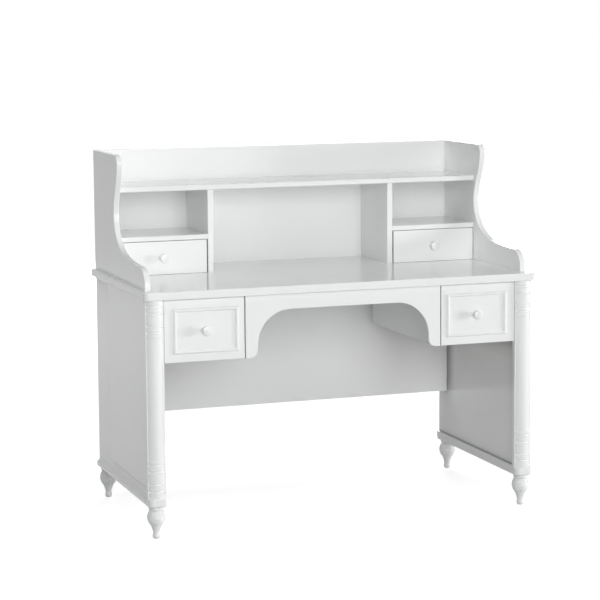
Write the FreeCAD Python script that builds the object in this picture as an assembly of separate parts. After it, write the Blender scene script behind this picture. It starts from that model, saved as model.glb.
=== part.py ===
import FreeCAD, Part
import os

# Student desk with hutch. Millimetres, +X to the right, +Y to the back, +Z up.
# The origin is on the floor, under the middle of the whole piece.

# Desktop
desk_width = 1280.0
desk_depth = 660.0
desk_height = 750.0
top_thickness = 18.0
top_corner = 15.0            # corner radius, seen from above
top_edge_round = 2.0
front_setback = 23.0         # desktop's front edge to the face of posts and drawers
lip_height = 6.5             # strip under the front edge
cove_height = 13.0           # coved strip under each side edge
cove_nib = 2.0               # flat at either end of the cove's curve

# Sides
side_inset = 8.0             # desktop's edge to the outer face of posts and panels
core_thickness = 32.0
panel_relief = 10.0          # a side panel stands this far out from its core
panel_rear_margin = 188.0
panel_bottom_margin = 35.0
panel_round = 3.0
post_width = 57.0
post_thickness = 18.0
post_round = 1.5

# Bowed columns on the posts
column_radius = 30.0
column_sunk = 15.0           # axis behind the post's face
shaft_relief = 1.2           # the shaft is thinner than the ringed ends
groove_width = 7.5
groove_depth = 3.7
top_grooves = (19.0, 39.5, 78.5, 98.0)
top_rings_margin = 14.5      # last groove's middle to the shaft
bottom_grooves = (23.5, 45.0, 83.0, 104.0)
bottom_rings_margin = 13.0

# Base rails
base_height = 27.0
base_overhang = 0.5          # beyond the post on either side
base_front_overhang = 1.0    # beyond the column's front
base_round = 9.0
base_top_round = 1.5
base_corner = 8.0            # at the rear, seen from above
base_nose = 16.0             # at the front, seen from above
base_ledge = 8.0             # behind the post, inside the core
base_cove_height = 14.0      # behind the post, from the core out to the rail's face

# Turned feet
foot_height = 97.0
foot_inset = 38.0            # desktop's front and rear edges to the foot's axis
sole_radius = 8.0
toe_radius = 10.9
toe_height = 10.0
ankle_radius = 10.2
ankle_height = 20.0
leg_hollow = 0.8             # between ankle and waist, inside a straight taper
waist_radius = 17.8
waist_height = 43.0
belly_radius = 26.5
belly_drop = 27.0            # below the foot's top
shoulder_radius = 19.5
shoulder_drop = 10.5
foot_ring_count = 8
foot_ring_crown = 0.8
collar_radius = 21.5
collar_height = 7.5
collar_crown = 1.0
stud_radius = 4.0
stud_in_foot = 40.0
stud_in_base = 18.0

# Back and front of the knee space
modesty_thickness = 16.0
modesty_setback = 49.0       # desktop's rear edge to the panel's back
modesty_bottom = 276.0
apron_width = 638.0
apron_height = 193.5
apron_thickness = 18.0
apron_round = 2.0
ear_width = 39.0             # apron's end to the arch
arch_head = 49.5             # apron's height over the middle of the arch
arch_radius = 106.0
ear_radius = 24.0
partition_thickness = 18.0
partition_rear_gap = 41.0    # to the modesty panel

# Desk drawers
drawer_gap = 3.2
drawer_post_gap = 0.8
drawer_reveal = 0.5          # apron's bottom edge to the front's bottom edge
drawer_front_thickness = 18.0
drawer_front_round = 2.5
bead_apron_inset = 18.2
bead_post_inset = 28.0
bead_bottom_inset = 25.0
bead_top_inset = 27.5
bead_width = 11.0
bead_height = 4.5
drawer_rear_gap = 104.0      # box's back to the modesty panel
drawer_box_drop = 29.5       # box's top edge below the front's top edge
drawer_box_wall = 12.0
drawer_box_clearance = 4.0
drawer_box_lift = 13.5       # box's bottom edge over the front's bottom edge
runner_height = 11.0
runner_width = 15.0          # on the partition
runner_reach = 13.0          # past the post's inner edge, on the side core
runner_rear_gap = 74.0       # to the modesty panel

# Hutch
hutch_height = 385.0
hutch_inset = 16.0           # desktop's edge to the hutch's side
hutch_side_thickness = 18.0
hutch_side_round = 2.0
hutch_back_thickness = 5.0
hutch_back_inset = 3.0       # from the rear edges of the sides
waist_depth = 250.0          # from the rear, where the scroll is narrowest
waist_rise = 200.0
toe_setback = 50.0           # desktop's front edge to the scroll's toe
toe_rise = 66.0
toe_round = 56.0
toe_climb = 9.0              # from the toe's round to the hollow behind it
scroll_length = 145.0        # the hollow's start to the waist, front to back
nose_overhang = 49.0         # the scroll leans this far forward over its waist
nose_round = 28.0
shelf_setback = 2.0          # behind the waist
shelf_thickness = 16.0
shelf_round = 3.0
upper_shelf_rise = 280.0     # desktop to the shelf's top
lower_shelf_rise = 123.0
divider_thickness = 18.0
divider_round = 2.0
niche_width = 596.0          # clear between the dividers

# Hutch drawers
small_divider_gap = 4.5
small_side_gap = 1.5
small_top_gap = 1.2
small_bottom_gap = 0.5
small_front_thickness = 16.0
small_front_round = 1.0
small_rear_gap = 10.0        # box's back to the hutch's back
small_headroom = 22.7        # box's top edge to the shelf over it
small_box_wall = 10.0
small_box_clearance = 5.0

# All drawers
glide_clearance = 0.3        # under a drawer's box
floor_thickness = 4.0
floor_lift = 8.0             # box's bottom edge to the floor board
floor_groove = 5.0
floor_clearance = 0.2
knob_radius = 14.5
knob_projection = 22.0
knob_neck_radius = 7.5
knob_base_radius = 9.5
knob_neck_share = 0.35       # neck's end, as a share of the projection
knob_rim = 6.0               # straight part of the rim
knob_dome = 2.5
knob_button_radius = 4.4     # middle of the face, inside a turned groove
knob_groove_width = 2.4
knob_groove_depth = 0.9
tenon_radius = 4.0
tenon_length = 12.0
tenon_clearance = 0.05

# Dowels between boards
dowel_radius = 4.0
dowel_bridge = 2.0           # of the desktop, between dowels from above and below
dowel_in_board = 20.0
dowel_end_margin = 60.0
bore_clearance = 0.05

# Places worked out from the sizes
half_width = desk_width / 2
rear = desk_depth / 2
front = -rear
face = front + front_setback
under_top = desk_height - top_thickness
under_lip = under_top - lip_height
post_back = face + post_thickness
side_outer = half_width - side_inset
post_inner = side_outer - post_width
post_centre = side_outer - post_width / 2
core_outer = side_outer - panel_relief
core_inner = core_outer - core_thickness
base_top = foot_height + base_height
apron_back = face + apron_thickness
apron_bottom = under_lip - apron_height
partition_outer = apron_width / 2
partition_inner = partition_outer - partition_thickness
modesty_back = rear - modesty_setback
modesty_front = modesty_back - modesty_thickness
partition_rear = modesty_front - partition_rear_gap
hutch_outer = half_width - hutch_inset
hutch_inner = hutch_outer - hutch_side_thickness
hutch_top = desk_height + hutch_height
hutch_back_rear = rear - hutch_back_inset
hutch_back_front = hutch_back_rear - hutch_back_thickness
waist = rear - waist_depth
shelf_front = waist + shelf_setback
divider_inner = niche_width / 2
divider_outer = divider_inner + divider_thickness
upper_shelf_top = desk_height + upper_shelf_rise
upper_shelf_bottom = upper_shelf_top - shelf_thickness
lower_shelf_top = desk_height + lower_shelf_rise
lower_shelf_bottom = lower_shelf_top - shelf_thickness
dowel_in_top = (top_thickness - dowel_bridge) / 2

# The knobs may reach further forward than the desktop: the origin stays in the middle.
shift_y = max(0.0, knob_projection - front_setback) / 2

V = FreeCAD.Vector
TOLERANCE = 0.01
QUARTER = 0.5 ** 0.5         # sine and cosine of 45 degrees
BEZIER_QUARTER = 0.5523      # handle length of a quarter ellipse


def box(x0, x1, y0, y1, z0, z1):
    return Part.makeBox(x1 - x0, y1 - y0, z1 - z0, V(x0, y0, z0))


def rod(radius, start, direction, length):
    return Part.makeCylinder(radius, length, start, direction)


def line(a, b):
    return Part.LineSegment(a, b).toShape()


def arc(a, b, c):
    return Part.Arc(a, b, c).toShape()


def bezier(*poles):
    curve = Part.BezierCurve()
    curve.setPoles(list(poles))
    return curve.toShape()


def chain(points):
    return [line(a, b) for a, b in zip(points, points[1:])]


def solid_between(edges, direction):
    return Part.Face(Part.Wire(edges)).extrude(direction)


def turned(edges, centre, direction):
    return Part.Face(Part.Wire(edges)).revolve(centre, direction, 360)


def at(axis, value):
    """Choose the edges that lie wholly in the plane axis = value."""
    def chosen(edge):
        return all(abs(getattr(v.Point, axis) - value) < TOLERANCE for v in edge.Vertexes)
    return chosen


def along(axis):
    """Choose the straight edges that run along an axis."""
    def chosen(edge):
        ends = [v.Point for v in edge.Vertexes]
        span = (ends[-1] - ends[0])
        return abs(abs(getattr(span, axis)) - edge.Length) < TOLERANCE
    return chosen


def both(*tests):
    return lambda edge: all(test(edge) for test in tests)


def rounded(shape, radius, chosen):
    return shape.makeFillet(radius, [edge for edge in shape.Edges if chosen(edge)])


def mirrored(shape):
    return shape.mirror(V(0, 0, 0), V(1, 0, 0))


def save(name, shape):
    shape.translated(V(0, shift_y, 0)).exportStep("parts/" + name + ".step")


def save_pair(name, shape):
    save(name + "_right", shape)
    save(name + "_left", mirrored(shape))


def upright_dowel(x, y, z, up, down):
    return rod(dowel_radius, V(x, y, z - down), V(0, 0, 1), up + down)


def spread(start, end, count):
    """Even places between two ends, a margin in from each."""
    first = start + dowel_end_margin
    step = (end - start - 2 * dowel_end_margin) / (count - 1)
    return [first + step * i for i in range(count)]


def bored(shape, dowels):
    """Cut a hole for each dowel, with its clearance."""
    for dowel in dowels:
        low = dowel.BoundBox
        centre = V((low.XMin + low.XMax) / 2, (low.YMin + low.YMax) / 2, low.ZMin)
        shape = shape.cut(rod(dowel_radius + bore_clearance, centre, V(0, 0, 1), low.ZLength))
    return shape


def dowels_under_top():
    """Dowels from the desktop down into the boards that carry it, right half and middle."""
    core_x = (core_outer + core_inner) / 2
    partition_x = (partition_outer + partition_inner) / 2
    places = [(core_x, y) for y in spread(post_back, rear, 3)]
    places += [(partition_x, y) for y in spread(apron_back, partition_rear, 2)]
    return [upright_dowel(x, y, under_top, dowel_in_top, dowel_in_board) for x, y in places]


def dowels_in_modesty():
    y = (modesty_front + modesty_back) / 2
    places = spread(-core_inner, core_inner, 4)
    return [upright_dowel(x, y, under_top, dowel_in_top, dowel_in_board) for x in places]


def dowels_over_top():
    """Dowels from the desktop up into the hutch's right side and divider."""
    side_x = (hutch_outer + hutch_inner) / 2
    divider_x = (divider_outer + divider_inner) / 2
    places = [(side_x, y) for y in spread(front + toe_setback, rear, 3)]
    places += [(divider_x, y) for y in spread(shelf_front, hutch_back_front, 2)]
    return [upright_dowel(x, y, desk_height, dowel_in_board, dowel_in_top) for x, y in places]


def desktop(dowels):
    top = box(-half_width, half_width, front, rear, under_top, desk_height)
    top = rounded(top, top_corner, along("z"))
    top = rounded(top, top_edge_round, at("z", desk_height))
    return bored(top, dowels)


def front_lip():
    lip = box(-half_width, half_width, front, post_back, under_lip, under_top)
    lip = rounded(lip, top_corner, both(along("z"), at("y", front)))
    bottom_front = both(at("z", under_lip), lambda edge: edge.CenterOfMass.y < front + top_corner)
    return rounded(lip, top_edge_round, bottom_front)


def side_cove():
    """A coved strip, cut away where the side panel passes behind it."""
    low = under_top - cove_height
    curve_start = V(half_width, post_back, under_top - cove_nib)
    curve_end = V(core_outer + cove_nib, post_back, low)
    reach = curve_start.x - curve_end.x
    rise = curve_start.z - curve_end.z
    middle = V(half_width - reach * QUARTER, post_back, low + rise * QUARTER)
    edges = [arc(curve_start, middle, curve_end)]
    edges += chain([curve_end, V(core_outer, post_back, low), V(core_outer, post_back, under_top),
                    V(half_width, post_back, under_top), curve_start])
    strip = solid_between(edges, V(0, rear - post_back, 0))
    passing = box(core_outer, side_outer, post_back, rear - panel_rear_margin, low, under_top)
    return strip.cut(passing)


def side_core(dowels):
    core = box(core_inner, core_outer, post_back, rear, base_top, under_top)
    return bored(core, dowels)


def side_panel():
    low = base_top + panel_bottom_margin
    panel = box(core_outer, side_outer, post_back, rear - panel_rear_margin, low, under_top)

    def shown(edge):
        middle = edge.CenterOfMass
        free = middle.y > post_back + TOLERANCE and middle.z < under_top - TOLERANCE
        return free and at("x", side_outer)(edge)

    return rounded(panel, panel_round, shown)


def front_post():
    post = box(post_inner, side_outer, face, post_back, base_top, under_lip)
    return rounded(post, post_round, both(along("z"), at("y", face)))


def column():
    """A bowed column with ringed ends, turned and then cut flat where it meets its post."""
    axis = V(post_centre, face + column_sunk, 0)

    def at_height(radius, z):
        return V(axis.x + radius, axis.y, z)

    shaft = column_radius - shaft_relief
    low_end = base_top + bottom_grooves[-1] + bottom_rings_margin
    high_end = under_lip - top_grooves[-1] - top_rings_margin
    grooves = [base_top + rise for rise in bottom_grooves]
    grooves += [under_lip - drop for drop in reversed(top_grooves)]
    edges = []
    here = at_height(column_radius, base_top)
    for z in grooves:
        if z > high_end and here.z < low_end:
            steps = [here, at_height(column_radius, low_end), at_height(shaft, low_end + shaft_relief),
                     at_height(shaft, high_end - shaft_relief), at_height(column_radius, high_end)]
            edges += chain(steps)
            here = steps[-1]
        low = at_height(column_radius, z - groove_width / 2)
        high = at_height(column_radius, z + groove_width / 2)
        edges += [line(here, low), arc(low, at_height(column_radius - groove_depth, z), high)]
        here = high
    edges += chain([here, at_height(column_radius, under_lip), at_height(0, under_lip),
                    at_height(0, base_top), at_height(column_radius, base_top)])
    whole = turned(edges, axis, V(0, 0, 1))
    reach = 2 * column_radius
    before = box(axis.x - reach, axis.x + reach, face - reach, face, base_top, under_lip)
    return whole.common(before)


def base_rail(studs):
    """A moulded rail, coved in to the side core and narrower inside behind the post."""
    rail_front = face - (column_radius - column_sunk) - base_front_overhang
    inner = post_inner - base_overhang
    outer = side_outer + base_overhang
    rail = box(inner, outer, rail_front, rear, foot_height, base_top)
    rail = rounded(rail, base_nose, both(along("z"), at("y", rail_front)))
    rail = rounded(rail, base_corner, both(along("z"), at("y", rear)))
    rail = rounded(rail, base_round, at("z", foot_height))
    rail = rounded(rail, base_top_round, at("z", base_top))
    cove_top = V(core_outer, post_back, base_top)
    cove_end = V(outer, post_back, base_top - base_cove_height)
    handle = V(0, 0, base_cove_height / 2)
    beyond = V(base_height, 0, 0)
    over = V(0, 0, base_height)
    edges = [bezier(cove_top, cove_top - handle, cove_end + handle, cove_end)]
    edges += chain([cove_end, cove_end + beyond, cove_end + beyond + over, cove_top + over, cove_top])
    rail = rail.cut(solid_between(edges, V(0, desk_depth, 0)))
    ledge_edge = core_inner - base_ledge
    rail = rail.cut(box(inner, ledge_edge, post_back, rear, foot_height, base_top))
    for stud in studs:
        rail = rail.cut(stud)
    return rail


def foot(x, y, stud):
    """A turned foot: toe, ankle, ringed belly and collar."""
    def at_height(radius, z):
        return V(x + radius, y, z)

    sole = at_height(sole_radius, 0)
    toe = at_height(toe_radius, toe_height)
    toe_inset = (toe_radius - sole_radius) * (1 - QUARTER)
    toe_middle = at_height(toe_radius - toe_inset, toe_height * (1 - QUARTER))
    waist_point = at_height(waist_radius, waist_height)
    shoulder = at_height(shoulder_radius, foot_height - shoulder_drop)
    leg = Part.BSplineCurve()
    leg_middle_radius = (ankle_radius + waist_radius) / 2 - leg_hollow
    leg_middle = at_height(leg_middle_radius, (ankle_height + waist_height) / 2)
    leg.interpolate([toe, at_height(ankle_radius, ankle_height), leg_middle, waist_point])
    edges = [arc(sole, toe_middle, toe), leg.toShape()]
    belly = arc(waist_point, at_height(belly_radius, foot_height - belly_drop), shoulder)
    start = belly.FirstParameter
    step = (belly.LastParameter - start) / foot_ring_count
    for ring in range(foot_ring_count):
        low = belly.valueAt(start + step * ring)
        high = belly.valueAt(start + step * (ring + 1))
        middle = belly.valueAt(start + step * (ring + 0.5))
        outward = middle.sub(belly.Curve.Center).normalize()
        edges.append(arc(low, middle.add(outward * foot_ring_crown), high))
    collar_low = at_height(collar_radius, foot_height - collar_height)
    collar_middle = at_height(collar_radius + collar_crown, foot_height - collar_height / 2)
    collar_high = at_height(collar_radius, foot_height)
    edges.append(line(shoulder, collar_low))
    edges.append(arc(collar_low, collar_middle, collar_high))
    edges += chain([collar_high, at_height(0, foot_height), at_height(0, 0), sole])
    return turned(edges, V(x, y, 0), V(0, 0, 1)).cut(stud)


def foot_stud(x, y, clearance):
    low = V(x, y, foot_height - stud_in_foot)
    return rod(stud_radius + clearance, low, V(0, 0, 1), stud_in_foot + stud_in_base)


def modesty_panel(dowels):
    panel = box(-core_inner, core_inner, modesty_front, modesty_back, modesty_bottom, under_top)
    return bored(panel, dowels)


def apron():
    """A board with an arched lower edge that ends in a round-cornered ear at each side."""
    half = apron_width / 2
    jamb = half - ear_width
    head = under_lip - arch_head
    radius = min(arch_radius, head - apron_bottom - ear_radius)
    turn = jamb - radius
    right = [V(turn, face, head),
             V(turn + radius * QUARTER, face, head - radius * (1 - QUARTER)),
             V(jamb, face, head - radius),
             V(jamb, face, apron_bottom + ear_radius),
             V(jamb + ear_radius * (1 - QUARTER), face, apron_bottom + ear_radius * (1 - QUARTER)),
             V(jamb + ear_radius, face, apron_bottom)]
    left = [V(-p.x, p.y, p.z) for p in right]
    edges = chain([left[5], V(-half, face, apron_bottom), V(-half, face, under_lip),
                   V(half, face, under_lip), V(half, face, apron_bottom), right[5]])
    for p in (right, left):
        edges += [arc(p[0], p[1], p[2]), line(p[2], p[3]), arc(p[3], p[4], p[5])]
    edges.append(line(left[0], right[0]))
    board = solid_between(Part.__sortEdges__(edges), V(0, apron_thickness, 0))
    below_lip = both(at("y", face), lambda edge: edge.CenterOfMass.z < under_lip - TOLERANCE)
    return rounded(board, apron_round, below_lip)


def partition(dowels):
    board = box(partition_inner, partition_outer, apron_back, partition_rear, apron_bottom, under_top)
    return bored(board, dowels)


def runners(box_bottom):
    """The two wooden runners under the right desk drawer."""
    high = box_bottom - glide_clearance
    low = high - runner_height
    end = modesty_front - runner_rear_gap
    inner = box(partition_outer, partition_outer + runner_width, apron_back, end, low, high)
    outer = box(post_inner - runner_reach, core_inner, post_back, end, low, high)
    return [inner, outer]


def hutch_side(dowels):
    """A board whose front edge is a scroll: toe, hollow, waist and leaning nose."""
    def on_side(y, z):
        return V(hutch_inner, y, z)

    toe = front + toe_setback
    toe_top = desk_height + toe_rise
    hollow = waist - scroll_length
    hollow_z = toe_top + toe_climb
    waist_z = desk_height + waist_rise
    nose = waist - nose_overhang
    nose_z = hutch_top - nose_round
    lean = (nose_z - waist_z) / 3
    toe_start = on_side(toe, toe_top - toe_round)
    toe_end = on_side(toe + toe_round, toe_top)
    toe_middle = on_side(toe + toe_round * (1 - QUARTER), toe_top - toe_round * (1 - QUARTER))
    nose_end = on_side(nose + nose_round, hutch_top)
    nose_middle = on_side(nose + nose_round * (1 - QUARTER), hutch_top - nose_round * (1 - QUARTER))
    climb_middle = on_side((toe_end.y + hollow) / 2, toe_top)
    climb_slope = toe_climb / (hollow - climb_middle.y)
    hollow_handle = BEZIER_QUARTER * scroll_length
    waist_handle = BEZIER_QUARTER * (waist_z - hollow_z)
    edges = [line(on_side(toe, desk_height), toe_start),
             arc(toe_start, toe_middle, toe_end),
             bezier(toe_end, climb_middle, on_side(hollow, hollow_z)),
             bezier(on_side(hollow, hollow_z),
                    on_side(hollow + hollow_handle, hollow_z + hollow_handle * climb_slope),
                    on_side(waist, waist_z - waist_handle), on_side(waist, waist_z)),
             bezier(on_side(waist, waist_z), on_side(waist, waist_z + lean),
                    on_side(nose, nose_z - lean), on_side(nose, nose_z)),
             arc(on_side(nose, nose_z), nose_middle, nose_end)]
    edges += chain([nose_end, on_side(rear, hutch_top), on_side(rear, desk_height),
                    on_side(toe, desk_height)])
    board = solid_between(edges, V(hutch_side_thickness, 0, 0))

    def scroll(edge):
        middle = edge.CenterOfMass
        on_face = at("x", hutch_inner)(edge) or at("x", hutch_outer)(edge)
        return on_face and middle.y < rear - TOLERANCE and middle.z > desk_height + TOLERANCE

    return bored(rounded(board, hutch_side_round, scroll), dowels)


def hutch_back():
    return box(-hutch_inner, hutch_inner, hutch_back_front, hutch_back_rear, desk_height, hutch_top)


def shelf(x0, x1, low, high):
    board = box(x0, x1, shelf_front, hutch_back_front, low, high)
    return rounded(board, shelf_round, both(at("y", shelf_front), along("x")))


def divider(dowels):
    board = box(divider_inner, divider_outer, shelf_front, hutch_back_front, desk_height, upper_shelf_bottom)
    board = rounded(board, divider_round, both(at("y", shelf_front), along("z")))
    return bored(board, dowels)


def knob(x, y, z):
    """A turned knob on the face at y, with a tenon into the drawer's front."""
    def out(radius, forward):
        return V(x + radius, y - forward, z)

    neck = knob_projection * knob_neck_share
    rim_front = knob_projection - knob_dome
    rim_back = rim_front - knob_rim
    sphere = (knob_radius ** 2 + knob_dome ** 2) / (2 * knob_dome)

    def on_dome(radius, sunk=0.0):
        return out(radius, knob_projection - sphere + (sphere ** 2 - radius ** 2) ** 0.5 - sunk)

    groove_outer = knob_button_radius + knob_groove_width
    groove_middle = knob_button_radius + knob_groove_width / 2
    edges = chain([out(0, -tenon_length), out(tenon_radius, -tenon_length), out(tenon_radius, 0),
                   out(knob_base_radius, 0)])
    edges.append(bezier(out(knob_base_radius, 0), out(knob_neck_radius, neck / 2),
                        out(knob_neck_radius, neck)))
    edges.append(bezier(out(knob_neck_radius, neck), out(knob_neck_radius, rim_back),
                        out(knob_radius, rim_back)))
    edges.append(line(out(knob_radius, rim_back), out(knob_radius, rim_front)))
    edges.append(arc(out(knob_radius, rim_front), on_dome((knob_radius + groove_outer) / 2),
                     on_dome(groove_outer)))
    edges.append(arc(on_dome(groove_outer), on_dome(groove_middle, knob_groove_depth),
                     on_dome(knob_button_radius)))
    edges.append(arc(on_dome(knob_button_radius), on_dome(knob_button_radius / 2), out(0, knob_projection)))
    edges.append(line(out(0, knob_projection), out(0, -tenon_length)))
    return turned(edges, V(x, y, z), V(0, 1, 0))


def bead(x0, x1, z0, z1, y):
    """A half-round bead that runs round a drawer's front, mitred at the corners."""
    middle = bead_width / 2
    length_x = x1 - x0
    length_z = z1 - z0

    def strip(length):
        section = [arc(V(0, y, 0), V(0, y - bead_height, middle), V(0, y, bead_width))]
        section.append(line(V(0, y, bead_width), V(0, y, 0)))
        bar = solid_between(section, V(length, 0, 0))
        depth = V(0, -2 * bead_height, 0)
        corners = [V(0, y, 0), V(length, y, 0), V(length - bead_width, y, bead_width),
                   V(bead_width, y, bead_width)]
        return bar.common(solid_between(chain(corners + corners[:1]), depth))

    def placed(length, angle, place):
        bar = strip(length)
        bar.rotate(V(0, 0, 0), V(0, -1, 0), angle)
        bar.translate(place)
        return bar

    bars = [placed(length_x, 0, V(x0, 0, z0)), placed(length_z, 90, V(x1, 0, z0)),
            placed(length_x, 180, V(x1, 0, z1)), placed(length_z, 270, V(x0, 0, z1))]
    return bars[0].multiFuse(bars[1:]).removeSplitter()


def save_drawer(name, front_box, front_round, box_x, box_z, end, wall, bead_insets):
    """Save a right-hand drawer and its mirror image: front, walls, floor, knob and any bead."""
    x0, x1, y0, y1, z0, z1 = front_box
    bx0, bx1 = box_x
    bz0, bz1 = box_z
    floor_z = bz0 + floor_lift
    reach = floor_groove - floor_clearance
    floor_x0, floor_x1 = bx0 + wall - reach, bx1 - wall + reach
    floor_y0, floor_y1 = y1 - reach, end - wall + reach
    floor = box(floor_x0, floor_x1, floor_y0, floor_y1, floor_z, floor_z + floor_thickness)
    groove = box(floor_x0 - floor_clearance, floor_x1 + floor_clearance,
                 floor_y0 - floor_clearance, floor_y1 + floor_clearance,
                 floor_z, floor_z + floor_thickness)
    field_x0, field_x1, field_z0, field_z1 = x0, x1, z0, z1
    if bead_insets:
        left, right, bottom, top = bead_insets
        field_x0, field_x1, field_z0, field_z1 = x0 + left, x1 - right, z0 + bottom, z1 - top
        save_pair(name + "_bead", bead(field_x0, field_x1, field_z0, field_z1, y0))
    knob_x, knob_z = (field_x0 + field_x1) / 2, (field_z0 + field_z1) / 2
    mortise = rod(tenon_radius + tenon_clearance, V(knob_x, y0, knob_z), V(0, 1, 0), tenon_length)
    board = rounded(box(x0, x1, y0, y1, z0, z1), front_round, at("y", y0))
    save_pair(name + "_front", board.cut(groove).cut(mortise))
    save_pair(name + "_inner_side", box(bx0, bx0 + wall, y1, end, bz0, bz1).cut(groove))
    save_pair(name + "_outer_side", box(bx1 - wall, bx1, y1, end, bz0, bz1).cut(groove))
    save_pair(name + "_back", box(bx0 + wall, bx1 - wall, end - wall, end, bz0, bz1).cut(groove))
    save_pair(name + "_floor", floor)
    save_pair(name + "_knob", knob(knob_x, y0, knob_z))


os.makedirs("parts", exist_ok=True)

below = dowels_under_top()
above = dowels_over_top()
middle_dowels = dowels_in_modesty()
all_dowels = below + above + [mirrored(dowel) for dowel in below + above] + middle_dowels
save("dowels", Part.makeCompound(all_dowels))

# Desk
save("desktop", desktop(all_dowels))
save("desktop_front_lip", front_lip())
save("modesty_panel", modesty_panel(middle_dowels))
save("apron", apron())
save_pair("side_cove", side_cove())
save_pair("side_core", side_core(below))
save_pair("side_panel", side_panel())
save_pair("front_post", front_post())
save_pair("column", column())
save_pair("drawer_partition", partition(below))

foot_places = {"front": front + foot_inset, "rear": rear - foot_inset}
studs = [foot_stud(post_centre, y, 0.0) for y in foot_places.values()]
stud_holes = [foot_stud(post_centre, y, bore_clearance) for y in foot_places.values()]
save("foot_studs", Part.makeCompound(studs + [mirrored(stud) for stud in studs]))
save_pair("base_rail", base_rail(stud_holes))
for (place, foot_y), hole in zip(foot_places.items(), stud_holes):
    save_pair("foot_" + place, foot(post_centre, foot_y, hole))

# Desk drawers and their runners
front_top = under_lip - drawer_gap
front_bottom = apron_bottom + drawer_reveal
box_bottom = front_bottom + drawer_box_lift
carriers = runners(box_bottom)
save("drawer_runners", Part.makeCompound(carriers + [mirrored(runner) for runner in carriers]))
save_drawer("desk_drawer",
            (partition_outer + drawer_gap, post_inner - drawer_post_gap,
             face, face + drawer_front_thickness,
             front_bottom, front_top),
            drawer_front_round,
            (partition_outer + drawer_box_clearance, post_inner - drawer_box_clearance),
            (box_bottom, front_top - drawer_box_drop),
            modesty_front - drawer_rear_gap, drawer_box_wall,
            (bead_apron_inset, bead_post_inset, bead_bottom_inset, bead_top_inset))

# Hutch
save_pair("hutch_side", hutch_side(above))
save("hutch_back", hutch_back())
save("hutch_upper_shelf", shelf(-hutch_inner, hutch_inner, upper_shelf_bottom, upper_shelf_top))
save_pair("hutch_divider", divider(above))
save_pair("hutch_lower_shelf", shelf(divider_outer, hutch_inner, lower_shelf_bottom, lower_shelf_top))

# Hutch drawers, which slide on the desktop
small_bottom = desk_height + glide_clearance
save_drawer("hutch_drawer",
            (divider_outer + small_divider_gap, hutch_inner - small_side_gap,
             shelf_front, shelf_front + small_front_thickness,
             desk_height + small_bottom_gap, lower_shelf_bottom - small_top_gap),
            small_front_round,
            (divider_outer + small_box_clearance, hutch_inner - small_box_clearance),
            (small_bottom, lower_shelf_bottom - small_headroom),
            hutch_back_front - small_rear_gap, small_box_wall, None)
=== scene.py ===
import math

import bpy
from mathutils import Matrix, Vector


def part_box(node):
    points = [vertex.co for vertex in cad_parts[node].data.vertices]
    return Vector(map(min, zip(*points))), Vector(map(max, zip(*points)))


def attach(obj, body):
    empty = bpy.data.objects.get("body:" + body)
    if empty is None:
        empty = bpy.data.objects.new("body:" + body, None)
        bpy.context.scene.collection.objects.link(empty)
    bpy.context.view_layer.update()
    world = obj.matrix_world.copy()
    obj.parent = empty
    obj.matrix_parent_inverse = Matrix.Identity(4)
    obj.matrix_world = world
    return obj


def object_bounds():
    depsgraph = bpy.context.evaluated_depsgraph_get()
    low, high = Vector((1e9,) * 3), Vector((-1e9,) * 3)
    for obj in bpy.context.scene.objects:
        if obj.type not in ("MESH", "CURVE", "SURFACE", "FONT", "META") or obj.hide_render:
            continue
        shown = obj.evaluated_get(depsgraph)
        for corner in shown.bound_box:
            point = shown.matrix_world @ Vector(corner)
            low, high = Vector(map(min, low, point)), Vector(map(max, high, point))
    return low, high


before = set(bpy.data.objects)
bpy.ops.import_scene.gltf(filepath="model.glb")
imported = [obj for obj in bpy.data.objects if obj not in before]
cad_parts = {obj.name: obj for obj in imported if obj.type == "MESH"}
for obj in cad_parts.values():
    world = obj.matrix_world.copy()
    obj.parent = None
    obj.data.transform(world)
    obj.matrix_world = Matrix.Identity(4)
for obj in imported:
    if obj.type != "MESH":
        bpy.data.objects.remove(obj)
cad_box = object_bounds()

# Student desk with hutch, in white lacquer. Metres, +X to the right, +Y to the back, +Z up.

MM = 0.001
SIDES = ("left", "right")
DRAWERS = ("desk_drawer", "hutch_drawer")
BACKWARDS = (0, 1, 0)
LEFTWARDS = (-1, 0, 0)
RIGHTWARDS = (1, 0, 0)

CAMERA_PLACE = (-2.2113, -6.1685, 1.5553)
CAMERA_YAW = 19.432          # degrees
CAMERA_PITCH = 6.654
CAMERA_ROLL = -0.440
CAMERA_LENS = 123.78         # millimetres
CAMERA_SENSOR = 36.0
CAMERA_SHIFT = -0.07         # of the picture's width
CAMERA_REACH = 100.0

# Name, place, width in metres and power in watts of each lamp
LAMPS = (
    ("front_lamp", (-0.3, -6.4, 1.9), 3.0, 178.0),
    ("front_left_lamp", (-2.6, -6.0, 1.6), 2.5, 42.0),
    ("right_lamp", (8.6, -3.1, 1.0), 1.8, 390.0),
    ("left_lamp", (-4.5, 0.0, 4.2), 2.5, 34.0),
    ("top_lamp", (0.0, -1.0, 5.0), 4.0, 48.0),
    ("back_lamp", (2.4, 6.2, 1.8), 2.5, 170.0),
)
FILL = 0.12                  # light from all round
WHITE = "#FFFFFF"

FLOOR_HALF = 15.0
FLOOR_PAINT = "#B4B4B4"      # lights the desk from below
FLOOR_SHOWN = "#F4F4F4"      # meets the camera and shows in reflections
FLOOR_LIFT = (0.60, 0.92)    # the floor's own white, by the desk and far from it
FLOOR_NEAR = 1.2
FLOOR_FAR = 4.0


def colour(hex_code):
    """Linear RGBA of an sRGB hex value."""
    channels = [int(hex_code[i:i + 2], 16) / 255 for i in (1, 3, 5)]
    linear = [c / 12.92 if c <= 0.04045 else ((c + 0.055) / 1.055) ** 2.4 for c in channels]
    return (*linear, 1.0)


def across(size):
    """Texture scale whose features are about this many millimetres across."""
    return 1 / (size * MM)


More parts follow.
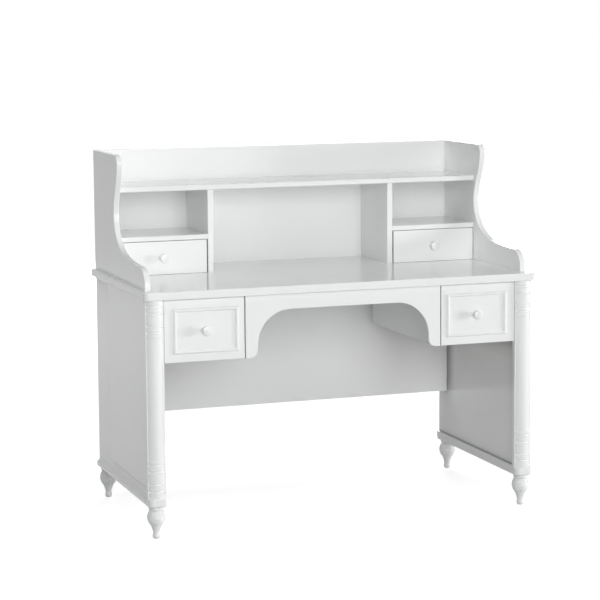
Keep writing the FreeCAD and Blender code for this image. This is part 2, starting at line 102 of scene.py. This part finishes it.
def node(tree, kind, inputs=None, **settings):
    """Add a node, set its properties, and link or set its inputs."""
    new = tree.nodes.new(kind)
    for name, value in settings.items():
        setattr(new, name, value)
    for name, value in (inputs or {}).items():
        if isinstance(value, bpy.types.NodeSocket):
            tree.links.new(value, new.inputs[name])
        else:
            new.inputs[name].default_value = value
    return new


def start_material(name):
    """A new material's tree, and where the surface lies in the piece, in metres."""
    material = bpy.data.materials.new(name)
    material.use_nodes = True
    tree = material.node_tree
    tree.nodes.clear()
    place = node(tree, "ShaderNodeTexCoord").outputs["Object"]
    return material, tree, place


def close_material(tree, **sockets):
    """Finish a tree with its shader: the words are the shader's sockets, with _ for a space."""
    inputs = {name.replace("_", " "): value for name, value in sockets.items()}
    shader = node(tree, "ShaderNodeBsdfPrincipled", inputs)
    node(tree, "ShaderNodeOutputMaterial", {"Surface": shader.outputs["BSDF"]})


# Finishes. Patterns are in millimetres, tones go from pale to deep and gloss from smooth to dull.

NOISE_LOW = 0.3              # most of a noise lies between these two
NOISE_HIGH = 0.7
TONE_DETAIL = 3.0
GLOSS_DETAIL = 4.0
RELIEF_DETAIL = 1.0
PORE_DETAIL = 2.0
CORNER_SAMPLES = 12
CORNER_FADE = 0.5
ARRIS_SAMPLES = 6
COAT_IOR = 1.5

# How far the painted corner shade reaches, and how open a place is when it is left unshaded, from 0
# to 1
JOINT = (4, 0.7)
RECESS = (75, 1.0)

BOARD_TONES = ("#F1F2F2", "#EEEFEF")
# Painted shade: the grey that inner corners and joints of the boards darken to
BOARD_CORNER_SHADE = "#E9EAEA"
# Painted shade: the grey under the desktop's overhang and in the recesses of the cores
RECESS_CORNER_SHADE = "#747676"
BOARD_DRIFT = 260
BOARD_SHEEN = 90
BOARD_ARRIS = 0.9
POLISHED = (0.09, 0.11)
SATIN = (0.17, 0.20)
WAVE = 55
WAVE_TO_PEEL = 6             # how much deeper the slow wave is than the peel
PEEL = 5                     # about 2 on a real board: drawn wider, so that it shows
POLISHED_PEEL = 0.004
SATIN_PEEL = 0.008

TURNED_TONES = ("#F2F3F3", "#EFF0F0")
# Painted shade: the grey that grooves and inner corners of turned pieces darken to
TURNED_CORNER_SHADE = "#B4B6B6"
TURNED_DRIFT = 30
TURNED_SHEEN = 40
TURNED_ARRIS = 0.6
TURNED_GLOSS = (0.20, 0.23)
PORE = 2                     # about 0.3 in real wood: drawn wider, so that it shows
PORE_DEPTH = 0.03

# Painted shade: the grey that inner corners of faced boards darken to
FACED_CORNER_SHADE = "#B9B7B3"
FACED_DRIFT = 120
FACED_SHEEN = 60
FACED_GLOSS = (0.46, 0.58)
MELAMINE_TONES = ("#E9E8E5", "#E3E2DF")
MELAMINE_PEBBLE = 2.0
MELAMINE_PEBBLE_DEPTH = 0.05
HARDBOARD_TONES = ("#E7E5E3", "#DEDCD9")
HARDBOARD_PEBBLE = 3.5
HARDBOARD_PEBBLE_DEPTH = 0.03

BEECH_TONES = ("#D9BE9B", "#C4A47C")
BEECH_DRIFT = 6
BEECH_SHEEN = 4
BEECH_GLOSS = (0.42, 0.6)
FLECK_TONE = "#A5835C"
FLECK = 1.6
FLECK_DEPTH = 0.05
FLECK_INSIDE = 0.1
FLECK_OUTSIDE = 0.3

ZINC_TONES = ("#C9CDD2", "#AEB2B8")
ZINC_DRIFT = 3
ZINC_SHEEN = 1.5
ZINC_GLOSS = (0.26, 0.44)

GRAIN_STRETCH = 0.04
ALONG_Y = (1, GRAIN_STRETCH, 1)
ALONG_Z = (1, 1, GRAIN_STRETCH)


def two_tones(tree, place, size, tones):
    """A slow drift between two tones, in patches of about this many millimetres."""
    pale, deep = tones
    drift = node(tree, "ShaderNodeTexNoise",
                 {"Vector": place, "Scale": across(size), "Detail": TONE_DETAIL})
    spread = node(tree, "ShaderNodeMapRange",
                  {"Value": drift.outputs["Fac"], "From Min": NOISE_LOW, "From Max": NOISE_HIGH})
    mixed = node(tree, "ShaderNodeMix",
                 {"Factor": spread.outputs["Result"], "A": colour(deep), "B": colour(pale)},
                 data_type="RGBA")
    return mixed.outputs["Result"]


def painted_corner_shade(tree, tone, shade, extent):
    """The tone, darkened by ambient occlusion in inner corners, joints and recesses: painted shade.
    """
    reach, unshaded_from = extent
    open_sky = node(tree, "ShaderNodeAmbientOcclusion", {"Distance": reach * MM},
                    samples=CORNER_SAMPLES)
    unshaded = node(tree, "ShaderNodeMapRange",
                 {"Value": open_sky.outputs["AO"], "From Min": unshaded_from - CORNER_FADE,
                  "From Max": unshaded_from})
    mixed = node(tree, "ShaderNodeMix",
                 {"Factor": unshaded.outputs["Result"], "A": colour(shade), "B": tone},
                 data_type="RGBA")
    return mixed.outputs["Result"]


def uneven_gloss(tree, place, size, gloss):
    """Roughness that wanders between two values, in patches of about this many millimetres."""
    smooth, dull = gloss
    sheen = node(tree, "ShaderNodeTexNoise",
                 {"Vector": place, "Scale": across(size), "Detail": GLOSS_DETAIL})
    rough = node(tree, "ShaderNodeMapRange",
                 {"Value": sheen.outputs["Fac"], "From Min": NOISE_LOW, "From Max": NOISE_HIGH,
                  "To Min": smooth, "To Max": dull})
    return rough.outputs["Result"]


def relief(tree, height, depth, under=None):
    """A surface normal with this height pattern, so many millimetres deep, over another relief."""
    inputs = {"Height": height, "Distance": depth * MM}
    if under is not None:
        inputs["Normal"] = under
    return node(tree, "ShaderNodeBump", inputs).outputs["Normal"]


def sprayed_lacquer(name, gloss, peel_depth, corner=BOARD_CORNER_SHADE, extent=JOINT):
    """White lacquer sprayed on fibreboard: an even, faintly rippled skin with softened arrises.

    The eye gets a calm white with a slow drift in tone, broad soft reflections that waver a
    little, a thin bright line along each edge, and painted shade: a thin grey line along each joint
    and inner corner.
    """
    material, tree, place = start_material(name)
    tone = painted_corner_shade(tree, two_tones(tree, place, BOARD_DRIFT, BOARD_TONES), corner, extent)
    arris = node(tree, "ShaderNodeBevel", {"Radius": BOARD_ARRIS * MM}, samples=ARRIS_SAMPLES)
    wave = node(tree, "ShaderNodeTexNoise",
                {"Vector": place, "Scale": across(WAVE), "Detail": RELIEF_DETAIL})
    waved = relief(tree, wave.outputs["Fac"], WAVE_TO_PEEL * peel_depth, arris.outputs["Normal"])
    peel = node(tree, "ShaderNodeTexNoise",
                {"Vector": place, "Scale": across(PEEL), "Detail": RELIEF_DETAIL})
    peeled = relief(tree, peel.outputs["Fac"], peel_depth, waved)
    close_material(tree, Base_Color=tone, Roughness=uneven_gloss(tree, place, BOARD_SHEEN, gloss),
                   Normal=peeled, IOR=COAT_IOR)
    return material


def turned_lacquer(name, stretch):
    """White lacquer on turned hardwood: closed grain along the piece, under a smooth skin.

    The eye gets narrow bright and grey bands where the light slides over the beads and coves,
    broken very slightly along the grain, and painted shade that greys the grooves and inner
    corners.
    """
    material, tree, place = start_material(name)
    along = node(tree, "ShaderNodeMapping", {"Vector": place, "Scale": stretch}).outputs["Vector"]
    tone = painted_corner_shade(tree, two_tones(tree, along, TURNED_DRIFT, TURNED_TONES),
                        TURNED_CORNER_SHADE, JOINT)
    arris = node(tree, "ShaderNodeBevel", {"Radius": TURNED_ARRIS * MM}, samples=ARRIS_SAMPLES)
    grain = node(tree, "ShaderNodeTexNoise",
                 {"Vector": along, "Scale": across(PORE), "Detail": PORE_DETAIL})
    grained = relief(tree, grain.outputs["Fac"], PORE_DEPTH, arris.outputs["Normal"])
    close_material(tree, Base_Color=tone,
                   Roughness=uneven_gloss(tree, place, TURNED_SHEEN, TURNED_GLOSS),
                   Normal=grained, IOR=COAT_IOR)
    return material


def faced_board(name, tones, pebble, pebble_depth):
    """White paper-faced board: matt, with a pressed pebble that breaks up reflections."""
    material, tree, place = start_material(name)
    # Painted shade: the tone greys in inner corners by occlusion.
    tone = painted_corner_shade(tree, two_tones(tree, place, FACED_DRIFT, tones), FACED_CORNER_SHADE, JOINT)
    bump = node(tree, "ShaderNodeTexVoronoi", {"Vector": place, "Scale": across(pebble)},
                feature="SMOOTH_F1")
    pressed = relief(tree, bump.outputs["Distance"], pebble_depth)
    close_material(tree, Base_Color=tone,
                   Roughness=uneven_gloss(tree, place, FACED_SHEEN, FACED_GLOSS),
                   Normal=pressed, IOR=COAT_IOR)
    return material


def planed_beech(name, stretch):
    """Planed, oiled beech: fine straight grain with short dark flecks, half matt."""
    material, tree, place = start_material(name)
    along = node(tree, "ShaderNodeMapping", {"Vector": place, "Scale": stretch}).outputs["Vector"]
    tone = two_tones(tree, along, BEECH_DRIFT, BEECH_TONES)
    fleck = node(tree, "ShaderNodeTexVoronoi", {"Vector": along, "Scale": across(FLECK)})
    spot = node(tree, "ShaderNodeMapRange",
                {"Value": fleck.outputs["Distance"], "From Min": FLECK_INSIDE,
                 "From Max": FLECK_OUTSIDE})
    flecked = node(tree, "ShaderNodeMix",
                   {"Factor": spot.outputs["Result"], "A": colour(FLECK_TONE), "B": tone},
                   data_type="RGBA")
    close_material(tree, Base_Color=flecked.outputs["Result"],
                   Roughness=uneven_gloss(tree, along, BEECH_SHEEN, BEECH_GLOSS),
                   Normal=relief(tree, fleck.outputs["Distance"], FLECK_DEPTH), IOR=COAT_IOR)
    return material


def zinc_plate(name):
    """Bright zinc plate on steel: a bluish metal with small dull patches from the bath."""
    material, tree, place = start_material(name)
    tone = two_tones(tree, place, ZINC_DRIFT, ZINC_TONES)
    close_material(tree, Base_Color=tone, Metallic=1.0,
                   Roughness=uneven_gloss(tree, place, ZINC_SHEEN, ZINC_GLOSS))
    return material


top_lacquer = sprayed_lacquer("polished_white_lacquer_on_fibreboard", POLISHED, POLISHED_PEEL)
board_lacquer = sprayed_lacquer("satin_white_lacquer_on_fibreboard", SATIN, SATIN_PEEL)
# The cores lie back under the desktop and behind the raised panels: a wide painted shade greys them
# under the overhang and in their corners.
core_lacquer = sprayed_lacquer("satin_white_lacquer_in_recesses", SATIN, SATIN_PEEL,
                               RECESS_CORNER_SHADE, RECESS)
leg_lacquer = turned_lacquer("white_lacquer_on_turned_hardwood", ALONG_Z)
knob_lacquer = turned_lacquer("white_lacquer_on_turned_knob", ALONG_Y)
box_board = faced_board("white_melamine_faced_board", MELAMINE_TONES, MELAMINE_PEBBLE,
                        MELAMINE_PEBBLE_DEPTH)
floor_board = faced_board("white_faced_hardboard", HARDBOARD_TONES, HARDBOARD_PEBBLE,
                          HARDBOARD_PEBBLE_DEPTH)
runner_beech = planed_beech("planed_beech_along_runner", ALONG_Y)
dowel_beech = planed_beech("planed_beech_along_dowel", ALONG_Z)
zinc = zinc_plate("zinc_plated_steel")

FINISHES = {
    "desktop": top_lacquer,
    "hutch_upper_shelf": top_lacquer,
    "hutch_lower_shelf": top_lacquer,
    "side_core": core_lacquer,
    "column": leg_lacquer,
    "foot_front": leg_lacquer,
    "foot_rear": leg_lacquer,
    "desk_drawer_knob": knob_lacquer,
    "hutch_drawer_knob": knob_lacquer,
    "desk_drawer_bead": leg_lacquer,
    "drawer_runners": runner_beech,
    "dowels": dowel_beech,
    "foot_studs": zinc,
}
for drawer in DRAWERS:
    FINISHES[drawer + "_floor"] = floor_board
    for wall in ("_back", "_inner_side", "_outer_side"):
        FINISHES[drawer + wall] = box_board

for name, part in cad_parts.items():
    kind = name.removesuffix("_left").removesuffix("_right")
    for slot in part.material_slots:
        slot.material = FINISHES.get(kind, board_lacquer)


# Screws and cam locks

HEAD_SIDES = 20
HEAD_SEED = 7
HEAD_SIZES = ("Spacing", "Foot Radius", "Top Radius", "Height",
              "Slot Length", "Slot Width", "Slot Depth")


def heads_tree():
    """Geometry nodes that set cross-slotted heads along edges, facing the way kept on the edges."""
    tree = bpy.data.node_groups.new("heads_along_rows", "GeometryNodeTree")
    tree.interface.new_socket(name="Rows", in_out="INPUT", socket_type="NodeSocketGeometry")
    for name in HEAD_SIZES:
        tree.interface.new_socket(name=name, in_out="INPUT", socket_type="NodeSocketFloat")
    tree.interface.new_socket(name="Finish", in_out="INPUT", socket_type="NodeSocketMaterial")
    tree.interface.new_socket(name="Heads", in_out="OUTPUT", socket_type="NodeSocketGeometry")
    given = node(tree, "NodeGroupInput").outputs

    head = node(tree, "GeometryNodeMeshCone",
                {"Vertices": HEAD_SIDES, "Radius Top": given["Top Radius"],
                 "Radius Bottom": given["Foot Radius"], "Depth": given["Height"]}).outputs["Mesh"]
    # Half of each bar stands over the head, and the other half cuts the slot.
    tall = node(tree, "ShaderNodeMath", {0: given["Slot Depth"], 1: 2.0},
                operation="MULTIPLY").outputs[0]
    up = node(tree, "ShaderNodeCombineXYZ", {"Z": given["Height"]}).outputs["Vector"]
    bars = []
    for axes in (("X", "Y"), ("Y", "X")):
        size = node(tree, "ShaderNodeCombineXYZ",
                    {axes[0]: given["Slot Length"], axes[1]: given["Slot Width"], "Z": tall})
        bar = node(tree, "GeometryNodeMeshCube", {"Size": size.outputs["Vector"]})
        bars.append(node(tree, "GeometryNodeTransform",
                         {"Geometry": bar.outputs["Mesh"], "Translation": up}))
    slotted = node(tree, "GeometryNodeMeshBoolean", {"Mesh 1": head},
                   operation="DIFFERENCE", solver="EXACT")
    for bar in bars:
        tree.links.new(bar.outputs["Geometry"], slotted.inputs["Mesh 2"])

    lines = node(tree, "GeometryNodeMeshToCurve", {"Mesh": given["Rows"]})
    points = node(tree, "GeometryNodeCurveToPoints",
                  {"Curve": lines.outputs["Curve"], "Length": given["Spacing"]}, mode="LENGTH")
    facing = node(tree, "GeometryNodeInputNamedAttribute", {"Name": "facing"},
                  data_type="FLOAT_VECTOR")
    outward = node(tree, "FunctionNodeAlignRotationToVector",
                   {"Vector": facing.outputs["Attribute"]}, axis="Z")
    # Each head stops at its own angle.
    turn = node(tree, "FunctionNodeRandomValue", {"Max": math.pi, "Seed": HEAD_SEED},
                data_type="FLOAT")
    spin = node(tree, "FunctionNodeAxisAngleToRotation",
                {"Axis": (0, 0, 1), "Angle": turn.outputs["Value"]})
    driven = node(tree, "FunctionNodeRotateRotation",
                  {"Rotation": outward.outputs["Rotation"], "Rotate By": spin.outputs["Rotation"]},
                  rotation_space="LOCAL")
    heads = node(tree, "GeometryNodeInstanceOnPoints",
                 {"Points": points.outputs["Points"], "Instance": slotted.outputs["Mesh"],
                  "Rotation": driven.outputs["Rotation"]})
    real = node(tree, "GeometryNodeRealizeInstances", {"Geometry": heads.outputs["Instances"]})
    plated = node(tree, "GeometryNodeSetMaterial",
                  {"Geometry": real.outputs["Geometry"], "Material": given["Finish"]})
    node(tree, "NodeGroupOutput", {"Heads": plated.outputs["Geometry"]})
    return tree


def set_heads(name, tree, rows, sizes, body):
    """Set heads along rows, each two ends and the way its heads face, and fix them to a body."""
    mesh = bpy.data.meshes.new(name + "_rows")
    ends = [end for row in rows for end in row[:2]]
    mesh.from_pydata(ends, [(2 * i, 2 * i + 1) for i in range(len(rows))], [])
    facing = mesh.attributes.new("facing", "FLOAT_VECTOR", "POINT")
    for i, row in enumerate(rows):
        facing.data[2 * i].vector = row[2]
        facing.data[2 * i + 1].vector = row[2]
    rail = bpy.data.objects.new(name + "_rows", mesh)
    bpy.context.scene.collection.objects.link(rail)
    modifier = rail.modifiers.new("heads", "NODES")
    modifier.node_group = tree
    for socket in tree.interface.items_tree:
        if socket.name in sizes:
            modifier[socket.identifier] = sizes[socket.name]
    evaluated = rail.evaluated_get(bpy.context.evaluated_depsgraph_get())
    made = bpy.data.meshes.new_from_object(evaluated)
    bpy.data.objects.remove(rail)
    piece = bpy.data.objects.new(name, made)
    bpy.context.scene.collection.objects.link(piece)
    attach(piece, body)


SCREW = {"Spacing": 190 * MM, "Foot Radius": 3.6 * MM, "Top Radius": 2.6 * MM, "Height": 1.3 * MM,
         "Slot Length": 3.4 * MM, "Slot Width": 0.9 * MM, "Slot Depth": 0.8 * MM, "Finish": zinc}
BOX_SCREW = {**SCREW, "Spacing": 70 * MM}
CAM_LOCK = {**SCREW, "Spacing": 300 * MM, "Foot Radius": 7.5 * MM, "Top Radius": 7.2 * MM,
            "Height": 0.7 * MM, "Slot Length": 8 * MM, "Slot Width": 1.8 * MM,
            "Slot Depth": 0.5 * MM}
SCREW_MARGIN = 34 * MM
BOX_SCREW_MARGIN = 22 * MM
CAM_LOCK_MARGIN = 34 * MM
CAM_LOCK_END = 60 * MM


def back_screw_rows():
    """Screws through the hutch's back into the rear edges of its shelves and dividers."""
    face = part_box("hutch_back")[1].y
    rows = []

    def level(shelf):
        low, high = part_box(shelf)
        z = (low.z + high.z) / 2
        rows.append(((low.x + SCREW_MARGIN, face, z), (high.x - SCREW_MARGIN, face, z), BACKWARDS))

    level("hutch_upper_shelf")
    for side in SIDES:
        level("hutch_lower_shelf_" + side)
        low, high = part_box("hutch_divider_" + side)
        x = (low.x + high.x) / 2
        rows.append(((x, face, low.z + SCREW_MARGIN), (x, face, high.z - SCREW_MARGIN), BACKWARDS))
    return rows


def cam_lock_rows():
    """Cam locks in the back of the modesty panel, by each end."""
    low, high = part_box("modesty_panel")
    return [((x, high.y, low.z + CAM_LOCK_END), (x, high.y, high.z - CAM_LOCK_END), BACKWARDS)
            for x in (low.x + CAM_LOCK_MARGIN, high.x - CAM_LOCK_MARGIN)]


def drawer_screw_rows(drawer, side):
    """Screws through a drawer's sides into the ends of its back."""
    back_low, back_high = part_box(drawer + "_back_" + side)
    y = (back_low.y + back_high.y) / 2
    middle = (back_low.x + back_high.x) / 2
    rows = []
    for wall in ("_inner_side_", "_outer_side_"):
        low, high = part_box(drawer + wall + side)
        x, facing = (low.x, LEFTWARDS) if low.x < middle else (high.x, RIGHTWARDS)
        rows.append(((x, y, low.z + BOX_SCREW_MARGIN), (x, y, high.z - BOX_SCREW_MARGIN), facing))
    return rows


tree = heads_tree()
set_heads("hutch_back_screws", tree, back_screw_rows(), SCREW, "desk")
set_heads("modesty_panel_cam_locks", tree, cam_lock_rows(), CAM_LOCK, "desk")
for drawer in DRAWERS:
    for side in SIDES:
        body = drawer + "_" + side
        set_heads(body + "_screws", tree, drawer_screw_rows(drawer, side), BOX_SCREW, body)


# Studio


def white_ray(tree):
    """1 for rays that should meet a white background, 0 for those that light the desk."""
    path = node(tree, "ShaderNodeLightPath")
    seen = node(tree, "ShaderNodeMath",
                {0: path.outputs["Is Camera Ray"], 1: path.outputs["Is Glossy Ray"]},
                operation="MAXIMUM")
    return node(tree, "ShaderNodeMath",
                {0: seen.outputs[0], 1: path.outputs["Is Transmission Ray"]},
                operation="MAXIMUM").outputs[0]


def build_world():
    """White to the camera and in reflections, and a weak light from all round for the rest."""
    world = bpy.data.worlds.new("studio")
    world.use_nodes = True
    tree = world.node_tree
    tree.nodes.clear()
    fill = node(tree, "ShaderNodeBackground", {"Color": colour(WHITE), "Strength": FILL})
    white = node(tree, "ShaderNodeBackground", {"Color": colour(WHITE), "Strength": 1.0})
    mixed = node(tree, "ShaderNodeMixShader",
                 {0: white_ray(tree), 1: fill.outputs[0], 2: white.outputs[0]})
    node(tree, "ShaderNodeOutputWorld", {"Surface": mixed.outputs[0]})
    bpy.context.scene.world = world


def build_floor():
    """A pale floor: white to the camera where it is lit, greyer in the desk's shadow."""
    mesh = bpy.data.meshes.new("floor")
    corners = [(-FLOOR_HALF, -FLOOR_HALF, 0), (FLOOR_HALF, -FLOOR_HALF, 0),
               (FLOOR_HALF, FLOOR_HALF, 0), (-FLOOR_HALF, FLOOR_HALF, 0)]
    mesh.from_pydata(corners, [], [(0, 1, 2, 3)])
    floor = bpy.data.objects.new("floor", mesh)
    bpy.context.scene.collection.objects.link(floor)
    material, tree, place = start_material("pale_studio_floor")
    paint = node(tree, "ShaderNodeBsdfDiffuse", {"Color": colour(FLOOR_PAINT)})
    bright = node(tree, "ShaderNodeBsdfDiffuse", {"Color": colour(FLOOR_SHOWN)})
    away = node(tree, "ShaderNodeVectorMath", {0: place}, operation="LENGTH")
    own_white = node(tree, "ShaderNodeMapRange",
                     {"Value": away.outputs["Value"], "From Min": FLOOR_NEAR, "From Max": FLOOR_FAR,
                      "To Min": FLOOR_LIFT[0], "To Max": FLOOR_LIFT[1]})
    lift = node(tree, "ShaderNodeEmission",
                {"Color": colour(WHITE), "Strength": own_white.outputs["Result"]})
    shown = node(tree, "ShaderNodeAddShader", {0: bright.outputs[0], 1: lift.outputs[0]})
    mixed = node(tree, "ShaderNodeMixShader",
                 {0: white_ray(tree), 1: paint.outputs[0], 2: shown.outputs[0]})
    node(tree, "ShaderNodeOutputMaterial", {"Surface": mixed.outputs[0]})
    mesh.materials.append(material)


def build_lamp(name, place, size, power):
    """A square soft lamp at a place, facing the middle of the desk."""
    lamp = bpy.data.lights.new(name, "AREA")
    lamp.shape = "SQUARE"
    lamp.size = size
    lamp.energy = power
    holder = bpy.data.objects.new(name, lamp)
    holder.location = place
    desk_middle = (cad_box[0] + cad_box[1]) / 2
    holder.rotation_euler = (desk_middle - Vector(place)).to_track_quat("-Z", "Y").to_euler()
    holder.visible_camera = False
    bpy.context.scene.collection.objects.link(holder)


def build_camera():
    """The photograph's view: from the left of the front, above the desktop."""
    camera = bpy.data.cameras.new("camera")
    camera.sensor_width = CAMERA_SENSOR
    camera.lens = CAMERA_LENS
    camera.shift_y = CAMERA_SHIFT
    camera.clip_end = CAMERA_REACH
    holder = bpy.data.objects.new("camera", camera)
    yaw = Matrix.Rotation(-math.radians(CAMERA_YAW), 4, "Z")
    pitch = Matrix.Rotation(math.radians(90.0 - CAMERA_PITCH), 4, "X")
    roll = Matrix.Rotation(math.radians(CAMERA_ROLL), 4, "Z")
    holder.matrix_world = Matrix.Translation(CAMERA_PLACE) @ yaw @ pitch @ roll
    bpy.context.scene.collection.objects.link(holder)
    bpy.context.scene.camera = holder


build_world()
build_floor()
for lamp in LAMPS:
    build_lamp(*lamp)
build_camera()
bpy.context.scene.view_settings.view_transform = "Standard"
